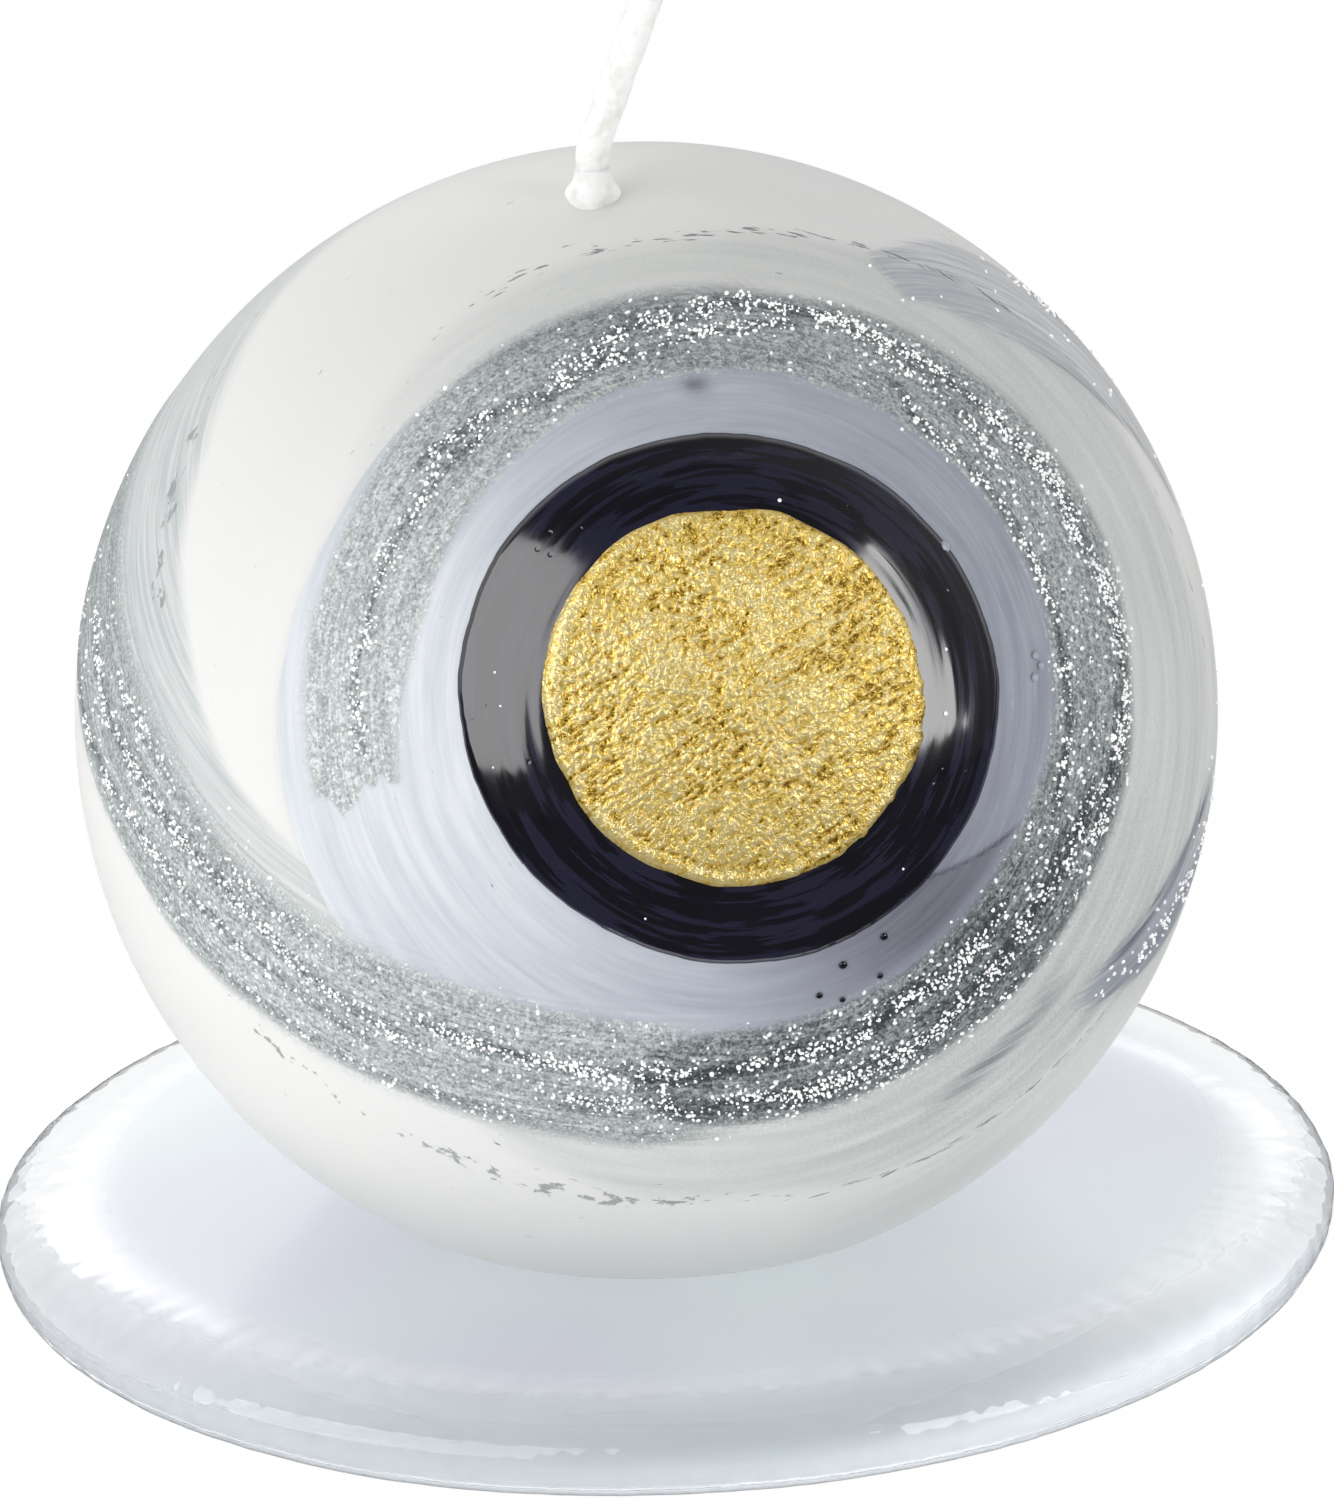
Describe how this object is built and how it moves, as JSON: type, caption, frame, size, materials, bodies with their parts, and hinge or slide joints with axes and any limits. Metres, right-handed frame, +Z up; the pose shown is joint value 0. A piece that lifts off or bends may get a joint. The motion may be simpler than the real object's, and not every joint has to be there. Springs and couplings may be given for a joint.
{
  "type": "ball candle on a glass plate",
  "caption": "Hand-painted wax ball candle with a gilt disc and glitter rings, a waxed wick and a flat foot, standing loose on a thick round glass plate.",
  "frame": {"origin": "centre of the glass plate's underside", "axes": "+Z up along the plate's axis; the painted motif faces -Y; +X to the viewer's right"},
  "size_m": [0.12, 0.12, 0.12],
  "materials": {
    "clear_glass": "fire-polished, slightly wavy",
    "wax": "polished white wax",
    "tinned_steel": "pressed tin plate",
    "cotton_wick": "braided cotton soaked in wax",
    "lavender_paint": "satin brushed paint",
    "dark_glaze": "high gloss",
    "gold_leaf": "crinkled leaf, bright",
    "silver_glitter": "metallised flakes in lacquer",
    "grey_paint": "dry-brushed metallic paint"
  },
  "bodies": {
    "plate": {"glass_plate": "clear_glass"},
    "candle": {"wax_core": "wax", "dipped_coat": "wax", "base_plug": "wax", "wick_sustainer": "tinned_steel", "wick_cord": "cotton_wick", "wick_collar": "wax", "lavender_coat": "lavender_paint", "dark_glaze": "dark_glaze", "gold_disc": "gold_leaf", "glitter_ring": "silver_glitter", "glitter_sweep": "silver_glitter", "grey_stroke": "grey_paint"},
    "wick": {"wick_tip": "cotton_wick"}
  },
  "joints": [
    {"name": "candle_lift", "type": "slide", "parent": "plate", "child": "candle", "axis": [0, 0, 1], "range_m": [0, 0.06]},
    {"name": "wick_bend", "type": "hinge", "parent": "candle", "child": "wick", "pos_m": [-0.0028, -0.0126, 0.10542], "axis": [0, 1, 0], "range_deg": [-61, 19]}
  ]
}
